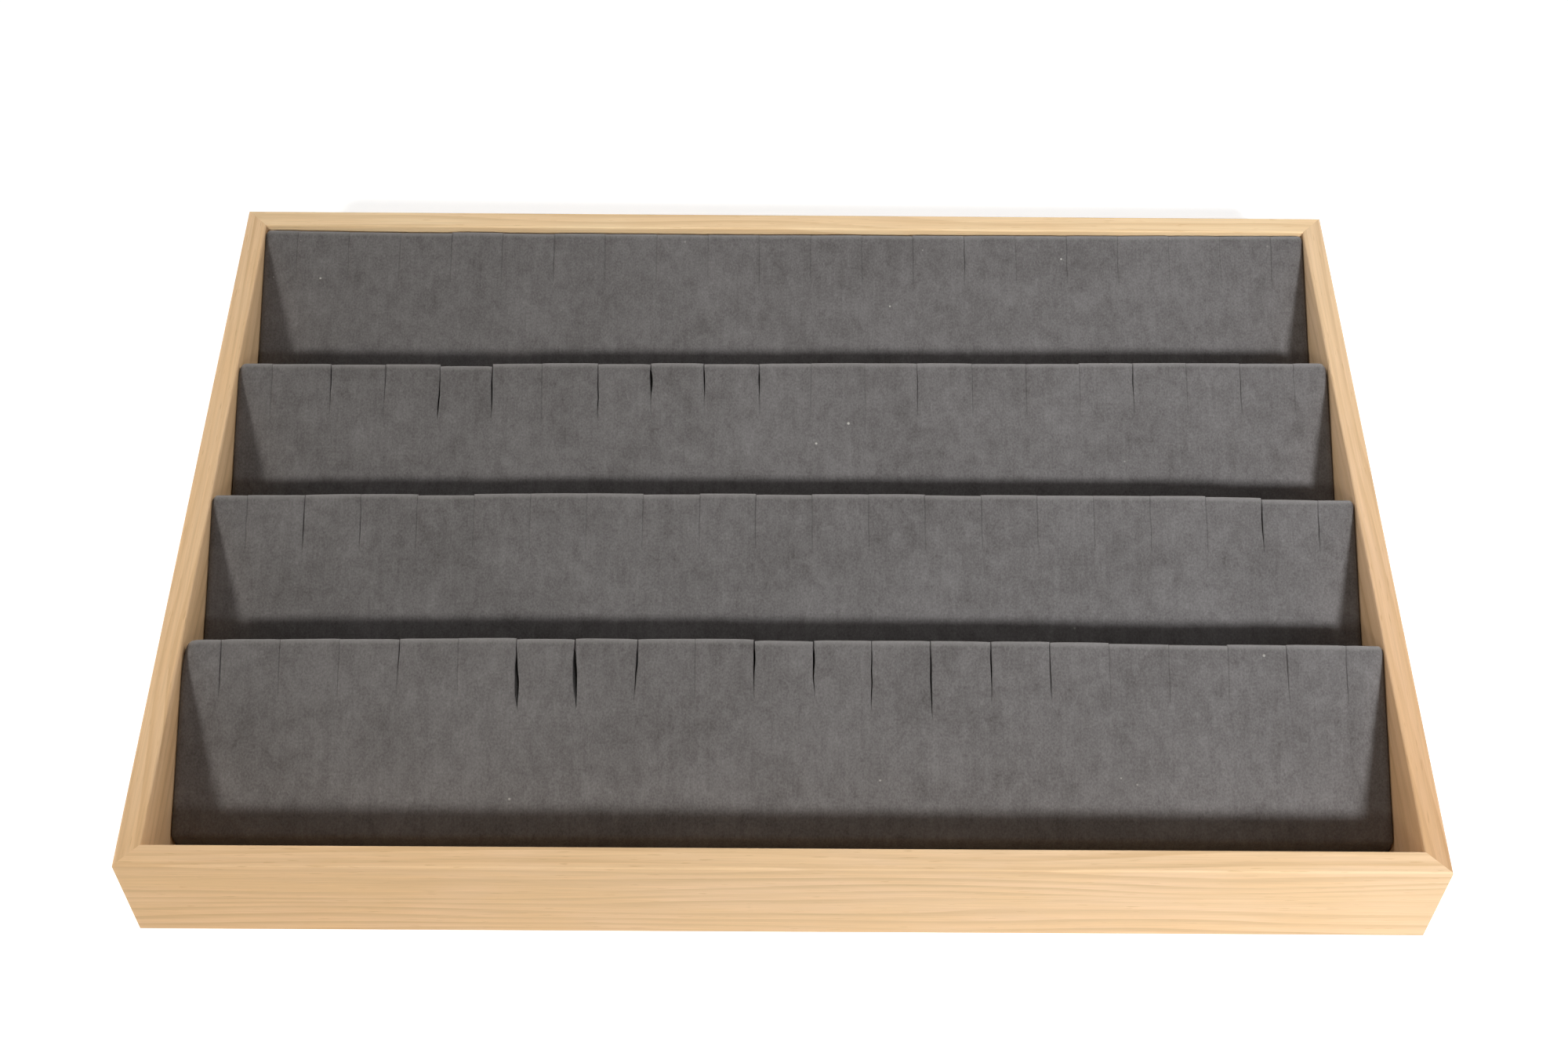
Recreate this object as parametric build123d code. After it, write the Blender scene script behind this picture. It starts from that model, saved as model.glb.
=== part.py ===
from build123d import *
from math import atan2, degrees
import os

# Earring display tray: a shallow open tray of four mitred pine rails round a thin base panel,
# holding four loose foam ramps wrapped in suede, with knife slits along each ridge.
# Millimetres. X runs along the rows, Y from the front rail to the back rail, Z up.
# The origin is the middle of the underside.

# Outer size of the tray and the section of its rails
tray_length = 350.0
tray_depth = 242.0
tray_height = 35.0
rail_thickness = 6.5
arris_radius = 0.6

# Base panel, which lies in a groove round the inside of the rails
panel_thickness = 3.0
panel_recess = 2.0
groove_depth = 3.0
groove_side_gap = 0.3
groove_top_gap = 0.2

# Suede lining glued to the base panel between the rails
lining_thickness = 0.8
lining_edge_gap = 0.3

# Angle nails pressed into the underside of the mitres
nail_leg = 6.0
nail_thickness = 0.6
nail_height = 7.0
nail_sink = 0.4

# Ramps, one loose piece to a row, from the front row to the back row
row_names = ("front", "second", "third", "back")
ridge_below_rim = 2.0
toe_height = 5.6
finger_gap = 15.6
ramp_play = 2.2
ramp_end_gap = 0.6

# How far the left and right end of each loose ramp have slid back from their even
# places, as shares of the play
ramp_settling = ((0.15, 0.2), (-0.6, 0.15), (-1.3, 0.15), (0.15, 0.6))

# Make-up of a ramp: foam core, card under it, suede cover wrapped round both
cover_thickness = 0.8
end_fold_radius = 0.7
ridge_end_radius = 4.0
card_thickness = 1.5
hem_width = 12.0

# Knife slits cut straight down into the ridge, closed at both ends of the row
slit_width = 0.5
slit_depth = 6.6
slit_pitch = 16.6
slit_end_margin = 9.0

inner_length = tray_length - 2 * rail_thickness
inner_depth = tray_depth - 2 * rail_thickness
inner_front = -inner_depth / 2

groove_height = panel_thickness + groove_top_gap
panel_reach = groove_depth - groove_side_gap
lining_bottom = panel_recess + panel_thickness
floor_top = lining_bottom + lining_thickness

nail_inset = (rail_thickness - groove_depth) / 2

row_count = len(row_names)
ramp_length = inner_length - 2 * ramp_end_gap
ramp_depth = (inner_depth - finger_gap) / row_count - ramp_play
ramp_height = tray_height - ridge_below_rim - floor_top
ramp_pitch = ramp_depth + ramp_play

slit_count = int((ramp_length - 2 * slit_end_margin) / slit_pitch) + 1
slit_floor = ramp_height - slit_depth


def rail_section():
    """Section of a rail: X inwards from the outer face, Y up from the underside."""
    blank = Rectangle(rail_thickness, tray_height, align=Align.MIN)
    eased = fillet(blank.vertices(), arris_radius)
    groove = Rectangle(rail_thickness, groove_height, align=Align.MIN)
    return eased - Pos(rail_thickness - groove_depth, panel_recess) * groove


def rail(run, span):
    """Front rail of a tray that is run wide and span deep, mitred at both ends."""
    outer_face = -span / 2
    inner_face = outer_face + rail_thickness
    blank = extrude(Plane.YZ * Pos(outer_face, 0) * rail_section(), amount=run / 2, both=True)
    mitred_plan = Polygon(
        (-run / 2, outer_face),
        (run / 2, outer_face),
        (run / 2 - rail_thickness, inner_face),
        (rail_thickness - run / 2, inner_face),
        align=None,
    )
    return blank & extrude(mitred_plan, amount=tray_height)


def nail_plan(side_x, side_y):
    """Plan of the angle nail in one corner, with a leg in each of the two rails."""
    corner_x = side_x * (tray_length / 2 - nail_inset)
    corner_y = side_y * (tray_depth / 2 - nail_inset)
    leg_middle = (nail_leg - nail_thickness) / 2
    leg_along_x = Pos(corner_x - side_x * leg_middle, corner_y) * Rectangle(nail_leg, nail_thickness)
    leg_along_y = Pos(corner_x, corner_y - side_y * leg_middle) * Rectangle(nail_thickness, nail_leg)
    return leg_along_x + leg_along_y


def base_panel():
    panel = Box(
        inner_length + 2 * panel_reach,
        inner_depth + 2 * panel_reach,
        panel_thickness,
        align=(Align.CENTER, Align.CENTER, Align.MIN),
    )
    return Pos(0, 0, panel_recess) * panel


def floor_lining():
    sheet = Box(
        inner_length - 2 * lining_edge_gap,
        inner_depth - 2 * lining_edge_gap,
        lining_thickness,
        align=(Align.CENTER, Align.CENTER, Align.MIN),
    )
    return Pos(0, 0, lining_bottom) * sheet


def filling_section():
    """Section of the filling of a ramp, sharp as cut, with the outside of the toe at X 0."""
    toe = cover_thickness
    back = ramp_depth - cover_thickness
    underside = cover_thickness
    toe_top = toe_height - cover_thickness
    ridge_top = ramp_height - cover_thickness
    return Polygon((toe, underside), (back, underside), (back, ridge_top), (toe, toe_top), align=None)


def cover_section():
    """Section of the outside of a ramp, rounded where the cover folds over an edge."""
    return offset(filling_section(), amount=cover_thickness)


def ease_ridge(wedge, length, top, radius):
    """Rounds off both ends of the ridge of a ramp."""
    for side in (-1, 1):
        centre_x = side * (length / 2 - radius)
        square = Pos(centre_x + side * radius, top) * Rectangle(2 * radius, 2 * radius)
        waste = square - Pos(centre_x, top - radius) * Circle(radius)
        wedge -= extrude(Plane.XZ * waste, amount=-ramp_depth)
    return wedge


def ramp_filling():
    """Foam and card of a ramp together."""
    length = ramp_length - 2 * cover_thickness
    wedge = extrude(Plane.YZ * filling_section(), amount=length / 2, both=True)
    return ease_ridge(wedge, length, ramp_height - cover_thickness, ridge_end_radius - cover_thickness)


def ramp_outside():
    """Whole outer form of a covered ramp, folded round the ends as well."""
    wedge = extrude(Plane.YZ * cover_section(), amount=ramp_length / 2, both=True)
    wedge = fillet(wedge.faces().filter_by(Axis.X).edges(), end_fold_radius)
    return ease_ridge(wedge, ramp_length, ramp_height, ridge_end_radius)


def slit_cuts():
    """Blade of every slit, from end to end of the ridge."""
    blade = Box(slit_width, ramp_depth, slit_depth, align=(Align.CENTER, Align.MIN, Align.MIN))
    first = -slit_pitch * (slit_count - 1) / 2
    return [Pos(first + number * slit_pitch, 0, slit_floor) * blade for number in range(slit_count)]


def card_layer():
    """Layer that the card takes up at the bottom of the filling."""
    layer = Box(
        ramp_length, ramp_depth, card_thickness, align=(Align.CENTER, Align.MIN, Align.MIN)
    )
    return Pos(0, 0, cover_thickness) * layer


def hem_window():
    """Bare middle of the underside, where the turned-in cover leaves the card open."""
    window = Box(
        ramp_length - 2 * hem_width,
        ramp_depth - 2 * hem_width,
        cover_thickness,
        align=(Align.CENTER, Align.MIN, Align.MIN),
    )
    return Pos(0, hem_width, 0) * window


def ramp_pieces():
    """Core, card and cover of one ramp, toe at Y 0 and underside at Z 0."""
    filling = ramp_filling()
    cuts = slit_cuts()
    return {
        "core": filling - card_layer() - cuts,
        "card": filling & card_layer(),
        "cover": ramp_outside() - filling - hem_window() - cuts,
    }


def ramp_place(row):
    """Where the ramp of a row has settled on the lining, a little askew."""
    left_shift, right_shift = (share * ramp_play for share in ramp_settling[row])
    middle = ramp_depth / 2
    even_place = inner_front + finger_gap + row * ramp_pitch + middle
    turn = degrees(atan2(right_shift - left_shift, ramp_length))
    place = Pos(0, even_place + (left_shift + right_shift) / 2, floor_top)
    return place * Rot(0, 0, turn) * Pos(0, -middle, 0)


corners = [(side_x, side_y) for side_x in (-1, 1) for side_y in (-1, 1)]
nails = [extrude(Pos(0, 0, nail_sink) * nail_plan(*corner), amount=nail_height) for corner in corners]
nail_pockets = [extrude(nail_plan(*corner), amount=nail_sink + nail_height) for corner in corners]

parts = {
    "front_rail": rail(tray_length, tray_depth) - nail_pockets,
    "back_rail": Rot(0, 0, 180) * rail(tray_length, tray_depth) - nail_pockets,
    "left_rail": Rot(0, 0, -90) * rail(tray_depth, tray_length) - nail_pockets,
    "right_rail": Rot(0, 0, 90) * rail(tray_depth, tray_length) - nail_pockets,
    "corner_nails": Part() + nails,
    "base_panel": base_panel(),
    "floor_lining": floor_lining(),
}

pieces = ramp_pieces()
for row, row_name in enumerate(row_names):
    for piece_name, piece in pieces.items():
        parts[f"{row_name}_ramp_{piece_name}"] = ramp_place(row) * piece

os.makedirs("parts", exist_ok=True)
for name, part in parts.items():
    export_step(part, f"parts/{name}.step")
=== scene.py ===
import bisect
import math
import random

import bmesh
import bpy
from mathutils import Matrix, Vector, noise


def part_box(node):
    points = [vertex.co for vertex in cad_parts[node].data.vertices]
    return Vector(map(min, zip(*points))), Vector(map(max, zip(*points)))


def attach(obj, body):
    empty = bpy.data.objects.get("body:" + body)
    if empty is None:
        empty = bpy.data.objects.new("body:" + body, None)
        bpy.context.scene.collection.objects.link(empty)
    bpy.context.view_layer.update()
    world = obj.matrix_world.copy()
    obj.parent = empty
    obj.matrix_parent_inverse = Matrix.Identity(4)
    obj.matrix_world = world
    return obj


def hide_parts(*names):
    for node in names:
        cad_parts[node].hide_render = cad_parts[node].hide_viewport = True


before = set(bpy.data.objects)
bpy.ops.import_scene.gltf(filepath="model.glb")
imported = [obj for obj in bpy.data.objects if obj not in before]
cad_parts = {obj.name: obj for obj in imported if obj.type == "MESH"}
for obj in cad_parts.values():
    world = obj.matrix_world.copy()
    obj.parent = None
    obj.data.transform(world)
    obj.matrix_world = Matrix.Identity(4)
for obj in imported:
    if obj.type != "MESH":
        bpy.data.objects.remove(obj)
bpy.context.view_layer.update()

# Earring display tray: a shallow pine tray with four loose foam ramps wrapped in grey suede.
# Meshes are built in millimetres and brought to metres when they are finished.
# X runs along the rows, Y from the front rail to the back rail, Z up.

# Make-up of a ramp, the same sizes as in the solids
row_names = ("front", "second", "third", "back")
toe_height = 5.6
cover_thickness = 0.8
card_thickness = 1.5
hem_width = 12.0
slit_depth = 6.6
slit_pitch = 16.6
slit_count = 20
slit_places = [slit_pitch * (number - (slit_count - 1) / 2) for number in range(slit_count)]

# Fineness of the ramp meshes: angle in degrees past which an edge is a fold, width and steps
# of a fold's rounding, columns beside a slit and in from each end, rows down the slits and
# below them, and how near counts as on a line
fold_angle = 30
fold_width = 1.2
fold_steps = 4
columns_beside_slit = (0.4, 1.2, 3.0, 5.6)
columns_from_end = (1.9, 2.7, 3.6, 4.8)
row_step = 0.4
coarse_rows = (0.4, 1.2, 2.4, 4.2, 6.5, 9.5, 12.5, 15.5)
hair = 0.002

# How far the left end, middle and right end of each ridge lean back, how far the soft foam
# stands up at it, and how far its left and right ends are drawn in
ridge_leans = {
    "front": (-1.17, 0.03, -1.17),
    "second": (-1.17, -0.27, -1.17),
    "third": (-1.17, -1.07, -1.17),
    "back": (0.3, -0.7, 0.0),
}
ridge_rise = 1.5
ridge_end_radii = {
    "front": (4.4, 1.4),
    "second": (1.8, 1.5),
    "third": (2.6, 2.6),
    "back": (1.4, 1.2),
}

# How far the soft ends swell out towards the side rails, and how far in from an end they do so
end_swell = 0.5
swell_reach = 6.0

# How wide a slit stays that has sprung shut, and how far its foot drifts either way
sprung_gap = (0.0, 0.045)
sprung_drift = 0.2

# Slits that use has opened, by their number from the left: how wide they gape, where along
# the slit (0 at its floor, 1 at the ridge), over what share of it, and how far its foot drifts
gaping_slits = {
    "front": {
        0: (0.2, 0.6, 0.5, 0.1),
        3: (0.25, 0.8, 0.4, 0.0),
        5: (1.1, 0.35, 0.42, 0.7),
        6: (1.15, 0.5, 0.42, 0.8),
        7: (0.45, 0.65, 0.4, -0.8),
        9: (0.55, 0.75, 0.4, 0.0),
        10: (0.55, 0.7, 0.4, 0.2),
        11: (0.3, 0.5, 0.5, -0.2),
        12: (0.42, 0.6, 0.45, 0.4),
        13: (0.42, 0.7, 0.4, -0.1),
        14: (0.24, 0.5, 0.5, 0.0),
        18: (0.15, 0.7, 0.4, 0.2),
        19: (0.12, 0.6, 0.5, 0.0),
    },
    "second": {
        1: (0.2, 0.5, 0.5, 0.0),
        2: (0.15, 0.4, 0.4, 0.2),
        18: (0.35, 0.6, 0.4, 0.1),
        19: (0.2, 0.5, 0.4, 0.0),
    },
    "third": {
        1: (0.34, 0.75, 0.3, 0.0),
        2: (0.15, 0.8, 0.4, -0.3),
        3: (0.42, 0.3, 0.5, -0.6),
        4: (0.42, 0.6, 0.5, 0.0),
        6: (0.3, 0.5, 0.5, 0.1),
        7: (0.8, 0.72, 0.22, 0.3),
        8: (0.42, 0.75, 0.3, 0.2),
        9: (0.4, 0.75, 0.3, 0.1),
        12: (0.15, 0.5, 0.4, 0.0),
        16: (0.25, 0.7, 0.3, 0.0),
        18: (0.15, 0.5, 0.4, 0.0),
    },
    "back": {
        5: (0.1, 0.5, 0.4, 0.0),
        13: (0.12, 0.6, 0.4, 0.0),
    },
}

# Slits that lie off their even places, by how far to the right
strayed_slits = {
    "front": {0: 0.1, 5: -0.3, 6: -0.6, 7: 0.4, 11: -0.3, 12: -0.4},
    "second": {18: -0.2, 19: -0.2},
    "third": {1: 1.5, 2: 1.6, 3: 1.9, 4: 1.3, 6: 0.7, 7: 0.4, 8: 0.2, 9: 0.6, 12: -0.4},
    "back": {},
}

# Slits cut deeper than the rest, by how much
deeper_slits = {
    "front": {5: 1.2, 6: 1.2, 7: 0.4, 11: 1.2, 12: 2.4, 13: 0.4},
    "second": {},
    "third": {3: 0.4, 4: 0.4, 5: 1.2, 6: 0.4},
    "back": {},
}

# Tabs between slits that lean forward, by their number from the left, and by how much
leaning_tabs = {
    "front": {6: 0.3, 10: 0.25, 15: 0.35, 16: 0.45, 17: 0.4, 18: 0.35},
    "second": {4: 0.4, 19: 0.7, 20: 0.7},
    "third": {2: 0.3, 4: 1.0, 7: 0.3},
    "back": {3: 0.3, 12: 0.3},
}

# How far any tab leans either way besides, how a lean grows towards the ridge, and how far it
# brings the tab down for each millimetre
tab_unevenness = 0.2
tab_lean_growth = 1.4
tab_drop = 0.25

# How far lips of a slit sink, and how far and how often a slit wanders from straight
lip_sink = (0.1, 0.45)
slit_wander = 0.22
wander_pace = 3.5

# How far from a slit the foam is pushed apart, bent with it and sunk at its lips
gape_reach = 3
bend_reach = 3.5
lip_reach = 1.3

# How steeply a slit opens from its floor, and its lips begin to sink
opening_slope = 4
opening_growth = 0.7
lip_slope = 3

# Share of the sinking at a slit that is shut, and how much each millimetre of gap adds
shut_lip_share = 0.15
gap_lip_share = 1.2

# How fast the bend and the straying of a slit die away in the foam below it
foot_fading = 1.5
stray_fading = 3

# Waves of the foam, by their length along and up a ramp and how far they lean it, dimples of
# the suede by their size and depth, and how far apart the rows are in the noise
foam_wave_length = 45
foam_wave_height = 30
foam_wave_lean = 0.35
dimple_size = (22, 16, 16)
dimple_depth = 0.12
noise_step = 10

# How far from the fold of the ridge the nap is rubbed and a highlight is painted
highlight_and_rub_width = 1.5

# Fineness of the lining, and the length and depth of its waves
lining_grid = (70, 48)
lining_wave_length = 30
lining_wave_depth = 0.08

# Dark and light colour of each napped, speckled or rolled finish, as read off a screen
ramp_suede_colors = ((81, 77, 75), (121, 117, 116))
lining_suede_colors = ((79, 75, 73), (117, 113, 112))
foam_colors = ((76, 72, 70), (106, 102, 99))
card_colors = ((128, 122, 113), (164, 158, 148))
steel_colors = ((150, 150, 152), (196, 196, 198))

# Colours of the suede's sheen, rubbed nap with a painted highlight, and lint, and of resin flecks
# in the pine
sheen_color = (190, 186, 184)
highlight_and_rub_color = (160, 155, 152)
lint_color = (176, 172, 164)
fleck_color = (206, 164, 114)

# Relief of the nap and the grain, by depth in millimetres and strength, and of foam and card
nap_relief = (0.12, 0.7)
grain_relief = (0.05, 0.5)
foam_relief = 0.2
card_relief = 0.03

# Red, green and blue of a growth ring of the pine, as shares of the wood round it
ring_shade = (0.86, 0.83, 0.79)

# Scale of the wave texture that puts growth rings 2.9 mm apart, and how far they wander
# across the grain, in metres
ring_scale = 108.0
ring_wander = (0, 0.016, 0.016)

# Rails, each cut from another part of the log: turn of its grain from X in degrees, place of
# the log's pith in millimetres, pale and warm colours as read off a screen, tints of its low
# and high end, and where along it the tint of the high end is reached, in metres. On the
# front rail the end tints are painted shade.
rail_boards = {
    "front_rail": {
        "turn": 0,
        "pith": (0, 0, -70),
        "pale": (247, 209, 164),
        "warm": (244, 205, 156),
        # Painted shade: darker at the left end, where the left lamp fades, and at the right, under
        # the right lamp
        "end_tints": ((0.91, 0.88, 0.85), (0.93, 0.935, 0.965)),
        "tint_end": 0.02,
    },
    "back_rail": {
        "turn": 0,
        "pith": (300, 14, -95),
        "pale": (248, 216, 172),
        "warm": (245, 210, 165),
        "end_tints": ((0.98, 0.98, 0.97), (0.92, 0.91, 0.89)),
        "tint_end": 0.15,
    },
    "left_rail": {
        "turn": 90,
        "pith": (500, 30, -80),
        "pale": (247, 209, 163),
        "warm": (244, 204, 155),
        "end_tints": ((0.87, 0.84, 0.82), (0.92, 0.91, 0.91)),
        "tint_end": 0.15,
    },
    "right_rail": {
        "turn": 90,
        "pith": (900, -24, -110),
        "pale": (246, 207, 164),
        "warm": (242, 202, 155),
        "end_tints": ((0.74, 0.66, 0.59), (0.88, 0.92, 0.98)),
        "tint_end": 0.15,
    },
}

# Base board, in the same terms, and where along a board the tint of its low end gives way
base_board = {
    "turn": 0,
    "pith": (0, 40, -400),
    "pale": (222, 194, 154),
    "warm": (214, 182, 138),
    "end_tints": ((1, 1, 1), (1, 1, 1)),
    "tint_end": 0.15,
}
tint_start = -0.16

# Camera: viewpoint of the photograph, in metres and degrees
camera_place = (-0.00337, -0.40894, 0.55306)
camera_pitch = 52.066
camera_yaw = -0.461
camera_roll = 0.731
camera_lens = 51.58
sensor_width = 36.0

# Lamps: way to each lamp from where it aims, its spread, strength and colour
lamps = {
    "left_lamp": {
        "way": (-0.66, -1.17, 1.0),
        "aim": (-0.22, -0.08, 0),
        "spread": 14.0,
        "strength": 0.69,
        "color": (1.0, 1.0, 0.96),
    },
    "right_lamp": {
        "way": (0.40, -1.17, 1.0),
        "aim": (0.255, -0.035, 0),
        "spread": 14.4,
        "strength": 1.28,
        "color": (0.96, 1.0, 1.04),
    },
}
lamp_distance = 3.0
lamp_radius = 0.2

# Light of the room before, beside and behind the tray, at table level and halfway up, and
# from overhead, and how white it looks
room_low_light = (0.25, 2.2, 3.0)
room_middle_light = (0.2, 1.0, 1.5)
room_high_light = 0.164
backdrop_white = 1.0

# Where the room's light passes from before to beside and from beside to behind, from -1 in
# front to 1 at the back, and from table level to halfway and to overhead, from 0 to 1 straight up
room_side_turn = (-0.6, -0.2)
room_back_turn = (0.2, 0.6)
room_middle_turn = (0.12, 0.3)
room_high_turn = (0.45, 0.65)

# How far the floor reaches each way, and its grey as it lights the tray and as it is seen
floor_reach = 3000
floor_lighting_grey = 0.45
floor_seen_grey = 0.85

# How much whiter the floor looks than it is lit, close to the tray, where its shadow stays, and
# far from it, and the distances in metres between which one passes into the other
floor_glow = (0.53, 0.64)
floor_glow_reach = (0.26, 0.6)


def metres(length):
    return length / 1000


def millimetres(length):
    return length * 1000


def fading(distance, reach):
    """1 at no distance, dying away over the reach."""
    return math.exp(-((distance / reach) ** 2))


# Meshes


def all_of(bm):
    return bm.verts[:] + bm.edges[:] + bm.faces[:]


def prism(section, length):
    """Prism of a section of (Y, Z) corners, centred on X."""
    bm = bmesh.new()
    corners = [bm.verts.new((-length / 2, y, z)) for y, z in section]
    end = bm.faces.new(corners)
    made = bmesh.ops.extrude_face_region(bm, geom=[end])
    far_corners = [item for item in made["geom"] if isinstance(item, bmesh.types.BMVert)]
    bmesh.ops.translate(bm, verts=far_corners, vec=(length, 0, 0))
    bmesh.ops.recalc_face_normals(bm, faces=bm.faces[:])
    return bm


def score(bm, point, across):
    """Adds a line of edges where a plane crosses the mesh."""
    bmesh.ops.bisect_plane(bm, geom=all_of(bm), dist=hair / 10, plane_co=point, plane_no=across)


class Ramp:
    """Sizes of a ramp and its place on the lining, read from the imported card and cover."""

    def __init__(self, row_name):
        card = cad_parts[f"{row_name}_ramp_card"].data
        corners = [millimetres(point.co) for point in card.vertices]
        left_toe = min(corners, key=lambda co: co.x + co.y)
        right_toe = max(corners, key=lambda co: co.x - co.y)
        left_back = min(corners, key=lambda co: co.x - co.y)
        low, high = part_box(f"{row_name}_ramp_cover")
        along = (right_toe - left_toe).to_2d()
        self.length = along.length + 2 * cover_thickness
        self.depth = (left_back - left_toe).to_2d().length + 2 * cover_thickness
        self.height = millimetres(high.z - low.z)
        self.slit_floor = self.height - slit_depth
        turn = Matrix.Rotation(math.atan2(along.y, along.x), 4, "Z")
        middle = (left_toe + right_toe) / 2
        seat = Matrix.Translation((middle.x, middle.y, millimetres(low.z)))
        self.place = seat @ turn @ Matrix.Translation((0, -cover_thickness, 0))


def filling_section(ramp, bottom):
    """Corners of the foam, which is sharp as cut, from the toe round to the ridge."""
    toe = cover_thickness
    back = ramp.depth - cover_thickness
    return [
        (toe, bottom),
        (back, bottom),
        (back, ramp.height - cover_thickness),
        (toe, toe_height - cover_thickness),
    ]


def cover_section(ramp):
    """Corners of the cover before its folds are rounded."""
    filling = filling_section(ramp, cover_thickness)
    toe_y, toe_z = filling[3]
    ridge_y, ridge_z = filling[2]
    slope = (ridge_z - toe_z) / (ridge_y - toe_y)
    lift = cover_thickness * math.hypot(1, slope)
    return [
        (0, 0),
        (ramp.depth, 0),
        (ramp.depth, ridge_z + lift + slope * cover_thickness),
        (0, toe_z + lift - slope * cover_thickness),
    ]


def round_folds(bm):
    """Rounds the cover where it folds over an edge."""
    folds = [edge for edge in bm.edges if edge.calc_face_angle(0) > math.radians(fold_angle)]
    bmesh.ops.bevel(
        bm,
        geom=folds,
        offset=fold_width,
        offset_type="OFFSET",
        segments=fold_steps,
        profile=0.5,
        affect="EDGES",
        material=-1,
    )


def score_for_slits(bm, ramp):
    """Lines along and between the slits, and level rows from the ridge down."""
    columns = {x + slit_pitch / 2 for x in slit_places[:-1]}
    columns.update(slit_places)
    for side in (-1, 1):
        columns.update(side * (ramp.length / 2 - inset) for inset in columns_from_end)
        columns.update(x + side * offset for x in slit_places for offset in columns_beside_slit)
    for x in sorted(columns):
        score(bm, (x, 0, 0), (1, 0, 0))
    fine_rows = [ramp.slit_floor + row_step * row for row in range(int(slit_depth / row_step))]
    for z in fine_rows + [ramp.slit_floor - drop for drop in coarse_rows]:
        score(bm, (0, 0, z), (0, 0, 1))


def cut_slits(bm, ramp, row_name, walled):
    """Cuts the mesh open down every slit, and closes the two sides of each cut if walled."""
    for number, x in enumerate(slit_places):
        floor = ramp.slit_floor - deeper_slits[row_name].get(number, 0)
        line = [edge for edge in bm.edges if on_slit(edge, x, floor)]
        bmesh.ops.split_edges(bm, edges=line)
        if walled:
            wall_slit(bm, x, floor)


def on_slit(edge, x, floor):
    """Whether an edge lies on the line of a slit, above its floor."""
    return all(abs(vert.co.x - x) < hair and vert.co.z > floor - hair for vert in edge.verts)


def wall_slit(bm, x, floor):
    """Faces down both sides of a cut, which meet along its floor."""
    lips = [edge for edge in bm.edges if edge.is_boundary and on_slit(edge, x, floor)]
    low_ends = [vert for edge in lips for vert in edge.verts if abs(vert.co.z - floor) < hair]
    floor_line = bm.edges.new(list(dict.fromkeys(low_ends)))
    for side in (-1, 1):
        lip = [edge for edge in lips if side * (edge.link_faces[0].calc_center_median().x - x) > 0]
        bmesh.ops.edgenet_fill(bm, edges=lip + [floor_line])


def ramp_blank(ramp):
    """Outer skin of a ramp with its folds rounded, scored for the slits."""
    bm = prism(cover_section(ramp), ramp.length)
    round_folds(bm)
    score_for_slits(bm, ramp)
    return bm


def foam_blank(ramp):
    """Foam wedge on its card, scored for the slits."""
    section = filling_section(ramp, cover_thickness + card_thickness)
    bm = prism(section, ramp.length - 2 * cover_thickness)
    score_for_slits(bm, ramp)
    return bm


class Slit:
    """How one slit has opened and bent with use."""

    def __init__(self, row_name, number):
        chance = random.Random(f"{row_name} slit {number}")
        sprung = (0, 0.5, 0.5, chance.uniform(-sprung_drift, sprung_drift))
        form = gaping_slits[row_name].get(number, sprung)
        self.width, self.widest, self.spread, self.drift = form
        self.shift = strayed_slits[row_name].get(number, 0)
        self.closed = chance.uniform(*sprung_gap)
        self.extra = deeper_slits[row_name].get(number, 0) / slit_depth
        self.sinks = {side: chance.uniform(*lip_sink) for side in (-1, 1)}
        self.seed = chance.uniform(0, 100)

    def share(self, rise):
        """Share of the way up from this slit's floor, from the rise above the even floor."""
        return (rise + self.extra) / (1 + self.extra)

    def gap(self, share):
        """How wide the slit is open."""
        opening = min(1, opening_slope * max(0, share)) ** opening_growth
        belly = fading(share - self.widest, self.spread)
        return (self.closed + self.width * belly) * opening

    def bend(self, share):
        """How far to the right of its even place the slit is."""
        foot = (1 - share) ** 2 if share > 0 else math.exp(foot_fading * share)
        wave = noise.noise(Vector((share * wander_pace, self.seed, 0))) * slit_wander
        return self.drift * foot + (self.shift + wave) * math.exp(min(0, stray_fading * share))


def slit_effect(slits, tab, x, rise):
    """How far a point of a tab is pushed along and sunk by the slits on both sides of it."""
    push = 0
    sink = 0
    for number, side in ((tab - 1, 1), (tab, -1)):
        if 0 <= number < slit_count:
            slit = slits[number]
            share = slit.share(rise)
            distance = abs(x - slit_places[number])
            gap = slit.gap(share)
            push += side * gap / 2 * fading(distance, gape_reach)
            push += slit.bend(share) * fading(distance, bend_reach)
            near = fading(distance, lip_reach) * min(1, lip_slope * max(0, share))
            sink = max(sink, slit.sinks[side] * near * (shut_lip_share + gap_lip_share * gap))
    return push, sink


def round_ridge_ends(bm, ramp, row_name):
    """Draws the square ends of the ridge into a quarter round, as the cloth pulls them."""
    left_radius, right_radius = ridge_end_radii[row_name]
    for vert in bm.verts:
        radius = left_radius if vert.co.x < 0 else right_radius
        out = max(0, abs(vert.co.x) - ramp.length / 2 + radius) / radius
        up = max(0, vert.co.z - ramp.height + radius) / radius
        drawn_in = radius * out * (1 - math.sqrt(1 - up * up / 2))
        vert.co.x -= math.copysign(drawn_in, vert.co.x)
        vert.co.z -= radius * up * (1 - math.sqrt(1 - out * out / 2))


def swell(ramp, x):
    """How far the soft end of a ramp swells outwards."""
    near_end = max(0, abs(x) - ramp.length / 2 + swell_reach) / swell_reach
    return math.copysign(end_swell * near_end ** 2, x)


def ridge_lean(row_name, along):
    """How far a ridge leans back, from -1 at its left end to 1 at its right end."""
    left, middle, right = ridge_leans[row_name]
    end = left if along < 0 else right
    return middle + (end - middle) * along ** 2


def tab_leans(row_name):
    """How far each tab of a row leans forward at the ridge."""
    chance = random.Random(row_name)
    leans = [chance.uniform(-tab_unevenness, tab_unevenness) for _ in range(slit_count + 1)]
    return [lean + leaning_tabs[row_name].get(tab, 0) for tab, lean in enumerate(leans)]


def tab_of(vert):
    """Number from the left of the tab that a point is on, told by the faces that meet in it."""
    beside = sum(face.calc_center_median().x for face in vert.link_faces) / len(vert.link_faces)
    return bisect.bisect(slit_places, beside)


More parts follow.
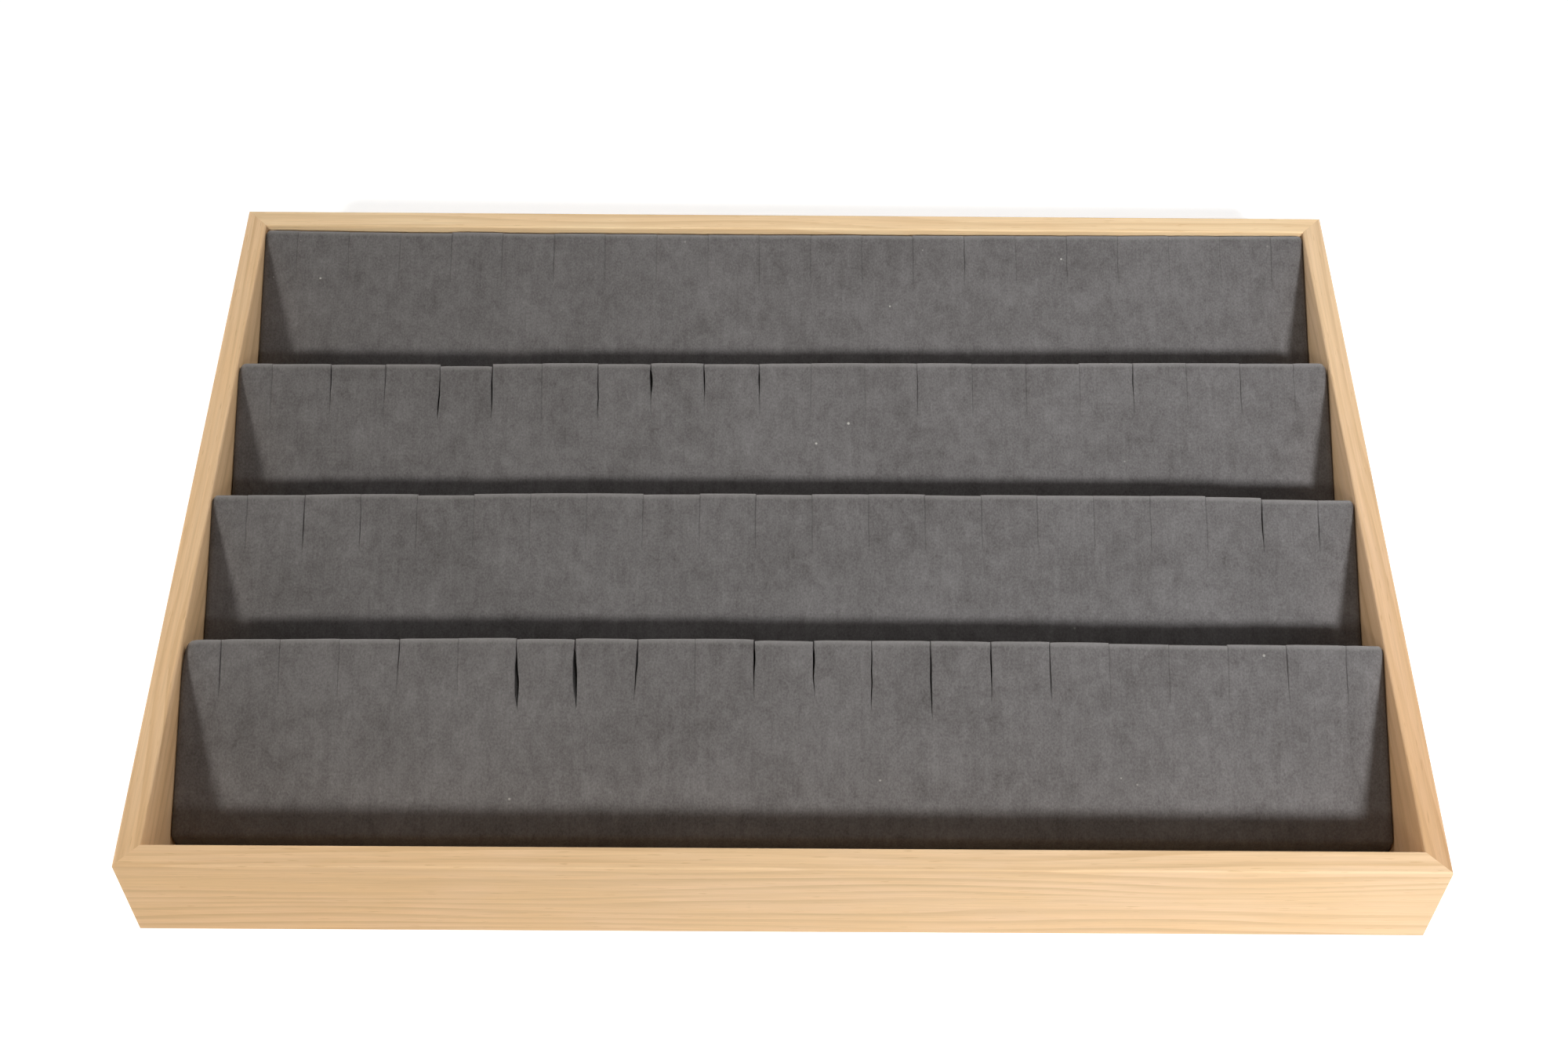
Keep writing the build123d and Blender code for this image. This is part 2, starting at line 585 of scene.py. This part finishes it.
def dimple(point, drift):
    """How far the suede stands out in a dimple or bump at a point."""
    x, y, z = (at / size for at, size in zip(point, dimple_size))
    return noise.noise(Vector((x, y, z + drift))) * dimple_depth


def settle(bm, ramp, row_name):
    """Bows the ridge, opens the slits and leans the tabs, as the soft foam does."""
    leans = tab_leans(row_name)
    slits = [Slit(row_name, number) for number in range(slit_count)]
    drift = row_names.index(row_name) * noise_step
    moves = {}
    round_ridge_ends(bm, ramp, row_name)
    bm.normal_update()
    for vert in bm.verts:
        x, _, z = vert.co
        tab = tab_of(vert)
        rise = (z - ramp.slit_floor) / slit_depth
        share = max(0, rise)
        height = z / ramp.height
        push, sink = slit_effect(slits, tab, x, rise)
        wave = noise.noise(Vector((x / foam_wave_length, drift, z / foam_wave_height)))
        lean = ridge_lean(row_name, 2 * x / ramp.length) * height + wave * foam_wave_lean * height
        lean -= leans[tab] * share ** tab_lean_growth
        lift = ridge_rise * height - abs(leans[tab]) * tab_drop * share
        move = Vector((push + swell(ramp, x), lean, lift))
        bulge = dimple(vert.co, drift) * min(1, height * 2)
        moves[vert] = move + vert.normal * (bulge - sink)
    for vert, move in moves.items():
        vert.co += move


def open_underside(bm, ramp):
    """Leaves only a hem of the cover under the card."""
    for side in (-1, 1):
        score(bm, (side * (ramp.length / 2 - hem_width), 0, 0), (1, 0, 0))
    for y in (hem_width, ramp.depth - hem_width):
        score(bm, (0, y, 0), (0, 1, 0))
    window = [face for face in bm.faces if in_window(face.calc_center_median(), ramp)]
    bmesh.ops.delete(bm, geom=window, context="FACES")


def in_window(centre, ramp):
    """Whether a face of the underside lies inside the hem."""
    inside_length = abs(centre.x) < ramp.length / 2 - hem_width
    inside_depth = hem_width < centre.y < ramp.depth - hem_width
    return centre.z < hair and inside_length and inside_depth


def mark_highlight_and_rub(bm, ramp):
    """Marks the fold of the ridge, where hands rub the nap and where a highlight is painted."""
    highlight_and_rub = bm.verts.layers.float.new("highlight_and_rub")
    for vert in bm.verts:
        _, y, z = vert.co
        from_ridge = ramp.height - z + max(0, ramp.depth - y)
        vert[highlight_and_rub] = fading(from_ridge, highlight_and_rub_width)


def finished(bm, name, place, material, smooth=True):
    """Makes a piece of a mesh that was built in millimetres."""
    bm.transform(Matrix.Scale(metres(1), 4) @ place)
    for face in bm.faces:
        face.smooth = smooth
    mesh = bpy.data.meshes.new(name)
    bm.to_mesh(mesh)
    bm.free()
    mesh.materials.append(material)
    piece = bpy.data.objects.new(name, mesh)
    bpy.context.scene.collection.objects.link(piece)
    return piece


def give_thickness(piece, thickness):
    """Cloth of a thickness, inwards from the face that shows."""
    wall = piece.modifiers.new("cloth", "SOLIDIFY")
    wall.thickness = metres(thickness)
    wall.offset = -1


# Materials


def add(tree, kind, sockets=None, **settings):
    """Adds a node, with its settings and with values or links for its sockets."""
    node = tree.nodes.new(kind)
    for name, value in settings.items():
        setattr(node, name, value)
    for name, value in (sockets or {}).items():
        if isinstance(value, bpy.types.NodeSocket):
            tree.links.new(value, node.inputs[name])
        else:
            node.inputs[name].default_value = value
    return node


def blend(tree, share, low, high, way="MIX"):
    """Mixes two colours, whose sockets on the node come after those for numbers and vectors."""
    sockets = {0: share, 6: low, 7: high}
    settings = {"data_type": "RGBA", "blend_type": way, "clamp_result": True}
    return add(tree, "ShaderNodeMix", sockets, **settings).outputs[2]


def times(tree, first, second):
    """Product of two values."""
    return add(tree, "ShaderNodeMath", {0: first, 1: second}, operation="MULTIPLY").outputs[0]


def sum_of(tree, *terms):
    """Adds values, each given as a socket and its weight, to a middle of one half."""
    total = 0.5 - sum(weight for _, weight in terms) / 2
    for socket, weight in terms:
        total = add(
            tree, "ShaderNodeMath", {0: socket, 1: weight, 2: total}, operation="MULTIPLY_ADD"
        ).outputs[0]
    return total


def stretched(tree, place, sizes):
    """Coordinates in which a speck of noise has these sizes in millimetres."""
    scale = [millimetres(1) / size for size in sizes]
    return add(tree, "ShaderNodeMapping", {"Vector": place, "Scale": scale}).outputs["Vector"]


def cloud(tree, place, sizes, detail=2.0, roughness=0.5, distortion=0.0):
    """Noise whose specks have these sizes in millimetres."""
    return add(
        tree,
        "ShaderNodeTexNoise",
        {
            "Vector": stretched(tree, place, sizes),
            "Scale": 1.0,
            "Detail": detail,
            "Roughness": roughness,
            "Distortion": distortion,
        },
    ).outputs["Fac"]


def step_between(tree, value, low, high, to_low=0.0, to_high=1.0):
    """Smooth step of a value from low to high."""
    return add(
        tree,
        "ShaderNodeMapRange",
        {"Value": value, "From Min": low, "From Max": high, "To Min": to_low, "To Max": to_high},
        interpolation_type="SMOOTHSTEP",
    ).outputs["Result"]


def grey(level):
    return (level, level, level, 1)


def srgb(red, green, blue):
    """Colour as it is read off a screen, made linear."""
    def linear(value):
        value /= 255
        return value / 12.92 if value <= 0.04045 else ((value + 0.055) / 1.055) ** 2.4

    return (linear(red), linear(green), linear(blue), 1.0)


def node_group(name, inputs, outputs):
    """Empty shader group with its named sockets."""
    tree = bpy.data.node_groups.new(name, "ShaderNodeTree")
    for socket, kind in inputs:
        tree.interface.new_socket(name=socket, in_out="INPUT", socket_type=kind)
    for socket, kind in outputs:
        tree.interface.new_socket(name=socket, in_out="OUTPUT", socket_type=kind)
    return tree, tree.nodes.new("NodeGroupInput"), tree.nodes.new("NodeGroupOutput")


def use_group(tree, group, sockets):
    return add(tree, "ShaderNodeGroup", sockets, node_tree=group)


def dark_and_light(colors):
    """The two colours of a finish, for the sockets of its group."""
    dark, light = (srgb(*color) for color in colors)
    return {"Dark": dark, "Light": light}


def new_material(name, **shine):
    """Material with object coordinates and a principled shader, for its pattern to be linked."""
    material = bpy.data.materials.new(name)
    material.use_nodes = True
    tree = material.node_tree
    tree.nodes.clear()
    sockets = {name.replace("_", " "): value for name, value in shine.items()}
    shader = add(tree, "ShaderNodeBsdfPrincipled", sockets)
    add(tree, "ShaderNodeOutputMaterial", {"Surface": shader.outputs["BSDF"]})
    place = add(tree, "ShaderNodeTexCoord").outputs["Object"]
    return material, tree, shader, place


def bump(tree, shader, height, depth, strength=1.0):
    """Relief of a depth in millimetres."""
    relief = add(
        tree, "ShaderNodeBump", {"Height": height, "Distance": metres(depth), "Strength": strength}
    )
    tree.links.new(relief.outputs["Normal"], shader.inputs["Normal"])


def nap_group():
    """Suede nap: brushed clouds, streaks down the ramp, fine fibres and a little lint."""
    tree, start, end = node_group(
        "suede nap",
        [("Place", "NodeSocketVector"), ("Dark", "NodeSocketColor"), ("Light", "NodeSocketColor")],
        [("Color", "NodeSocketColor"), ("Height", "NodeSocketFloat")],
    )
    place = start.outputs["Place"]
    clouds = cloud(tree, place, (26, 20, 20), detail=3)
    brushed = cloud(tree, place, (4.0, 5.5, 5.5), detail=3, distortion=0.6)
    streaks = cloud(tree, place, (1.1, 15, 15), detail=2)
    fibres = cloud(tree, place, (0.5, 0.7, 0.7), detail=2, roughness=0.6)
    tone = sum_of(tree, (clouds, 0.6), (brushed, 0.8), (streaks, 0.3), (fibres, 1.15))
    napped = blend(tree, tone, start.outputs["Dark"], start.outputs["Light"])
    lint = lint_specks(tree, place)
    tree.links.new(blend(tree, lint, napped, srgb(*lint_color)), end.inputs["Color"])
    tree.links.new(sum_of(tree, (fibres, 0.7), (brushed, 0.3)), end.inputs["Height"])
    return tree


def lint_specks(tree, place):
    """Few small pale specks."""
    cells = add(
        tree,
        "ShaderNodeTexVoronoi",
        {"Vector": stretched(tree, place, (8, 8, 8)), "Scale": 1.0},
    )
    speck = step_between(tree, cells.outputs["Distance"], 0.065, 0.03)
    patch = step_between(tree, cloud(tree, place, (30, 30, 30)), 0.55, 0.63)
    return times(tree, speck, patch)


def suede(name, nap, colors, highlight_and_rub):
    """Grey suede; a marked one is paler along the fold of the ridge, as rubbed nap and a painted
    highlight.
    """
    material, tree, shader, place = new_material(
        name,
        Roughness=0.95,
        Specular_IOR_Level=0.15,
        Sheen_Weight=0.12,
        Sheen_Roughness=0.5,
        Sheen_Tint=srgb(*sheen_color),
    )
    pattern = use_group(tree, nap, {"Place": place, **dark_and_light(colors)})
    color = pattern.outputs["Color"]
    if highlight_and_rub:
        # Paler along the fold of the ridge: rubbed nap and a painted highlight
        mark = add(tree, "ShaderNodeAttribute", attribute_name="highlight_and_rub").outputs["Fac"]
        share = step_between(tree, mark, 0.1, 0.9, 0.0, 0.45)
        color = blend(tree, share, color, srgb(*highlight_and_rub_color))
    tree.links.new(color, shader.inputs["Base Color"])
    bump(tree, shader, pattern.outputs["Height"], *nap_relief)
    return material


def growth_rings(tree, place):
    """Dark wood of the growth rings round the pith, which wander a little and fade in places."""
    wander = add(
        tree,
        "ShaderNodeTexNoise",
        {"Vector": stretched(tree, place, (160, 22, 22)), "Scale": 1.0, "Detail": 1.5},
    ).outputs["Color"]
    shifted = add(
        tree,
        "ShaderNodeVectorMath",
        {0: wander, 1: ring_wander, 2: place},
        operation="MULTIPLY_ADD",
    ).outputs["Vector"]
    rings = add(
        tree,
        "ShaderNodeTexWave",
        {"Vector": shifted, "Scale": ring_scale},
        wave_type="RINGS",
        rings_direction="X",
        wave_profile="SAW",
    ).outputs["Fac"]
    rise = step_between(tree, rings, 0.35, 0.86)
    fall = step_between(tree, rings, 1.0, 0.93)
    faded = step_between(tree, cloud(tree, place, (90, 9, 9)), 0.3, 0.7, 0.3, 1.0)
    return times(tree, times(tree, rise, fall), faded)


def grain_group():
    """Pine grain along X: growth rings round a far pith, fibres, blotches and resin flecks."""
    tree, start, end = node_group(
        "pine grain",
        [
            ("Place", "NodeSocketVector"),
            ("Pale", "NodeSocketColor"),
            ("Warm", "NodeSocketColor"),
            ("Ring", "NodeSocketColor"),
        ],
        [("Color", "NodeSocketColor"), ("Height", "NodeSocketFloat")],
    )
    place = start.outputs["Place"]
    late_wood = growth_rings(tree, place)
    blotch = step_between(tree, cloud(tree, place, (38, 10, 10), detail=3), 0.36, 0.64)
    body = blend(tree, blotch, start.outputs["Pale"], start.outputs["Warm"])
    ringed = blend(tree, late_wood, body, start.outputs["Ring"])
    fibres = cloud(tree, place, (22, 0.45, 0.45), detail=3, roughness=0.6)
    tone = step_between(tree, fibres, 0.25, 0.75, 0.92, 1.035)
    colored = blend(tree, 1.0, ringed, tone, way="MULTIPLY")
    flecks = step_between(tree, cloud(tree, place, (6, 0.5, 0.5), detail=0), 0.72, 0.8, 0.0, 0.45)
    tree.links.new(blend(tree, flecks, colored, srgb(*fleck_color)), end.inputs["Color"])
    tree.links.new(sum_of(tree, (fibres, 0.6), (late_wood, 0.4)), end.inputs["Height"])
    return tree


def turned_place(tree, place, turn, pith):
    """Coordinates with the grain turned onto X and the pith of the log at the origin."""
    turned = add(
        tree, "ShaderNodeMapping", {"Vector": place, "Rotation": (0, 0, math.radians(turn))}
    ).outputs["Vector"]
    moved = add(
        tree,
        "ShaderNodeVectorMath",
        {0: turned, 1: [metres(value) for value in pith]},
        operation="SUBTRACT",
    )
    return moved.outputs["Vector"]


def pine(name, grain, turn, pith, pale, warm, end_tints, tint_end):
    """Clear-oiled pine with its own place in the log, and a tint for each end of the board, which
    on the front rail is painted shade.
    """
    material, tree, shader, place = new_material(name, Specular_IOR_Level=0.3)
    pattern = use_group(
        tree,
        grain,
        {
            "Place": turned_place(tree, place, turn, pith),
            "Pale": srgb(*pale),
            "Warm": srgb(*warm),
            "Ring": [share * part for share, part in zip(ring_shade, srgb(*warm))] + [1],
        },
    )
    along = add(tree, "ShaderNodeSeparateXYZ", {"Vector": place}).outputs["Y" if turn else "X"]
    # End tints; on the front rail they are painted shade
    low_tint, high_tint = ((*tint, 1) for tint in end_tints)
    tint = blend(tree, step_between(tree, along, tint_start, tint_end), low_tint, high_tint)
    tinted = blend(tree, 1.0, pattern.outputs["Color"], tint, way="MULTIPLY")
    tree.links.new(tinted, shader.inputs["Base Color"])
    height = pattern.outputs["Height"]
    gloss = step_between(tree, height, 0.2, 0.8, 0.62, 0.5)
    tree.links.new(gloss, shader.inputs["Roughness"])
    bump(tree, shader, height, *grain_relief)
    return material


def speckle_group():
    """Even speckle of two colours, for cut foam and grey board."""
    tree, start, end = node_group(
        "speckle",
        [("Place", "NodeSocketVector"), ("Dark", "NodeSocketColor"), ("Light", "NodeSocketColor")],
        [("Color", "NodeSocketColor"), ("Height", "NodeSocketFloat")],
    )
    place = start.outputs["Place"]
    fine = cloud(tree, place, (0.5, 0.5, 0.5), detail=2)
    broad = cloud(tree, place, (7, 7, 7), detail=3)
    tone = sum_of(tree, (fine, 1.3), (broad, 0.6))
    color = blend(tree, tone, start.outputs["Dark"], start.outputs["Light"])
    tree.links.new(color, end.inputs["Color"])
    tree.links.new(fine, end.inputs["Height"])
    return tree


def speckled(name, speckle, colors, relief):
    """Dull speckled finish with a relief in millimetres."""
    material, tree, shader, place = new_material(name, Roughness=0.95, Specular_IOR_Level=0.2)
    pattern = use_group(tree, speckle, {"Place": place, **dark_and_light(colors)})
    tree.links.new(pattern.outputs["Color"], shader.inputs["Base Color"])
    bump(tree, shader, pattern.outputs["Height"], relief)
    return material


def nail_steel():
    """Rolled steel strip, a little dull."""
    material, tree, shader, place = new_material("nail steel", Metallic=1.0)
    rolled = cloud(tree, place, (0.4, 0.4, 4), detail=2)
    dark, light = (srgb(*color) for color in steel_colors)
    tint = blend(tree, rolled, dark, light)
    tree.links.new(tint, shader.inputs["Base Color"])
    tree.links.new(step_between(tree, rolled, 0.2, 0.8, 0.3, 0.55), shader.inputs["Roughness"])
    return material


# Pieces


def make_ramp(row_name, outer, inner, looks):
    """Suede cover and foam of one ramp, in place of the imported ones."""
    ramp = Ramp(row_name)
    body = f"{row_name}_ramp"
    skin = outer.copy()
    mark_highlight_and_rub(skin, ramp)
    open_underside(skin, ramp)
    cut_slits(skin, ramp, row_name, walled=False)
    settle(skin, ramp, row_name)
    cover = finished(skin, f"{body}_suede", ramp.place, looks["suede"])
    give_thickness(cover, cover_thickness)
    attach(cover, body)
    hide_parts(f"{body}_cover")
    filling = inner.copy()
    cut_slits(filling, ramp, row_name, walled=True)
    settle(filling, ramp, row_name)
    foam = finished(filling, f"{body}_foam", ramp.place, looks["foam"], smooth=False)
    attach(foam, body)
    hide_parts(f"{body}_core")


def make_ramps(looks):
    first = Ramp(row_names[0])
    outer = ramp_blank(first)
    inner = foam_blank(first)
    for row_name in row_names:
        make_ramp(row_name, outer, inner, looks)
    outer.free()
    inner.free()


def make_lining(look):
    """Suede sheet glued flat on the base panel."""
    low, high = (millimetres(corner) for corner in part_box("floor_lining"))
    size = high - low
    bm = bmesh.new()
    bmesh.ops.create_grid(bm, x_segments=lining_grid[0], y_segments=lining_grid[1], size=0.5)
    bmesh.ops.scale(bm, vec=(size.x, size.y, 1), verts=bm.verts[:])
    for vert in bm.verts:
        place = Vector((vert.co.x / lining_wave_length, vert.co.y / lining_wave_length, 0))
        vert.co.z = noise.noise(place) * lining_wave_depth
    middle = (low + high) / 2
    sheet = finished(bm, "lining_suede", Matrix.Translation((middle.x, middle.y, high.z)), look)
    give_thickness(sheet, size.z)
    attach(sheet, "tray")
    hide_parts("floor_lining")


def dress_node(name, material):
    """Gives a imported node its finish."""
    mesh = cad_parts[name].data
    mesh.materials.clear()
    mesh.materials.append(material)


def dress_rails(grain):
    """Gives each rail its own board of pine."""
    for name, board in rail_boards.items():
        dress_node(name, pine(name.replace("_", " "), grain, **board))


def dress_hidden_nodes(grain, speckle):
    """Board, nails and card, which show from below or when a ramp is lifted."""
    dress_node("base_panel", pine("base board", grain, **base_board))
    dress_node("corner_nails", nail_steel())
    card = speckled("grey card", speckle, card_colors, card_relief)
    for row_name in row_names:
        dress_node(f"{row_name}_ramp_card", card)


# Stage


def make_floor():
    """White table, which glows a little to look at, but not as a light."""
    bm = bmesh.new()
    bmesh.ops.create_grid(bm, x_segments=1, y_segments=1, size=floor_reach)
    material = bpy.data.materials.new("white table")
    material.use_nodes = True
    tree = material.node_tree
    tree.nodes.clear()
    seen = seen_directly(tree)
    tone = blend(tree, seen, grey(floor_lighting_grey), grey(floor_seen_grey))
    place = add(tree, "ShaderNodeTexCoord").outputs["Object"]
    away = add(tree, "ShaderNodeVectorMath", {0: place}, operation="LENGTH").outputs["Value"]
    level = step_between(tree, away, *floor_glow_reach, *floor_glow)
    shader = add(
        tree,
        "ShaderNodeBsdfPrincipled",
        {
            "Base Color": tone,
            "Roughness": 0.9,
            "Specular IOR Level": 0.1,
            "Emission Color": grey(1),
            "Emission Strength": times(tree, seen, level),
        },
    )
    add(tree, "ShaderNodeOutputMaterial", {"Surface": shader.outputs["BSDF"]})
    finished(bm, "table", Matrix.Identity(4), material)


def seen_directly(tree):
    """1 where the camera, a gloss or a glass looks at it, and 0 for its light on others."""
    path = add(tree, "ShaderNodeLightPath")
    seen = path.outputs["Is Camera Ray"]
    for ray in ("Is Glossy Ray", "Is Transmission Ray"):
        seen = add(
            tree, "ShaderNodeMath", {0: seen, 1: path.outputs[ray]}, operation="MAXIMUM"
        ).outputs[0]
    return seen


def light_round(tree, backwards, before, beside, behind):
    """Light of a level of the room, from the front wall past the sides to the back wall."""
    front_to_side = step_between(tree, backwards, *room_side_turn, before, beside)
    return step_between(tree, backwards, *room_back_turn, front_to_side, behind)


def make_room():
    """Even white room: white to look at, and dimmer as a light."""
    world = bpy.data.worlds.new("room")
    world.use_nodes = True
    tree = world.node_tree
    tree.nodes.clear()
    way = add(tree, "ShaderNodeTexCoord").outputs["Generated"]
    parts = add(tree, "ShaderNodeSeparateXYZ", {"Vector": way}).outputs
    low_light = light_round(tree, parts["Y"], *room_low_light)
    middle_light = light_round(tree, parts["Y"], *room_middle_light)
    below = step_between(tree, parts["Z"], *room_middle_turn, low_light, middle_light)
    light = step_between(tree, parts["Z"], *room_high_turn, below, room_high_light)
    strength = add(
        tree,
        "ShaderNodeMapRange",
        {"Value": seen_directly(tree), "To Min": light, "To Max": backdrop_white},
    ).outputs["Result"]
    background = add(tree, "ShaderNodeBackground", {"Color": grey(1), "Strength": strength})
    add(tree, "ShaderNodeOutputWorld", {"Surface": background.outputs["Background"]})
    bpy.context.scene.world = world


def make_lamp(name, way, aim, spread, strength, color):
    """Far soft lamp whose beam fades out across the tray; strength 1 renders white as white."""
    lamp = bpy.data.lights.new(name, "SPOT")
    lamp.energy = strength * (2 * math.pi * lamp_distance) ** 2
    lamp.color = color
    lamp.spot_size = math.radians(spread)
    lamp.spot_blend = 1.0
    lamp.shadow_soft_size = lamp_radius
    lamp.use_soft_falloff = False
    holder = bpy.data.objects.new(name, lamp)
    toward = Vector(way).normalized()
    holder.location = Vector(aim) + lamp_distance * toward
    holder.rotation_euler = toward.to_track_quat("Z", "Y").to_euler()
    bpy.context.scene.collection.objects.link(holder)


def make_camera():
    camera = bpy.data.cameras.new("camera")
    camera.sensor_width = sensor_width
    camera.lens = camera_lens
    camera.clip_start = 0.01
    holder = bpy.data.objects.new("camera", camera)
    holder.matrix_world = (
        Matrix.Translation(camera_place)
        @ Matrix.Rotation(math.radians(camera_yaw), 4, "Z")
        @ Matrix.Rotation(math.radians(90 - camera_pitch), 4, "X")
        @ Matrix.Rotation(math.radians(camera_roll), 4, "Z")
    )
    bpy.context.scene.collection.objects.link(holder)
    bpy.context.scene.camera = holder


def make_stage():
    bpy.context.scene.view_settings.view_transform = "Standard"
    make_camera()
    make_floor()
    make_room()
    for name, lamp in lamps.items():
        make_lamp(name, **lamp)


def make_object():
    nap = nap_group()
    grain = grain_group()
    speckle = speckle_group()
    looks = {
        "suede": suede("ramp suede", nap, ramp_suede_colors, highlight_and_rub=True),
        "foam": speckled("cut foam", speckle, foam_colors, foam_relief),
    }
    make_ramps(looks)
    make_lining(suede("lining suede", nap, lining_suede_colors, highlight_and_rub=False))
    dress_rails(grain)
    dress_hidden_nodes(grain, speckle)


make_stage()
make_object()
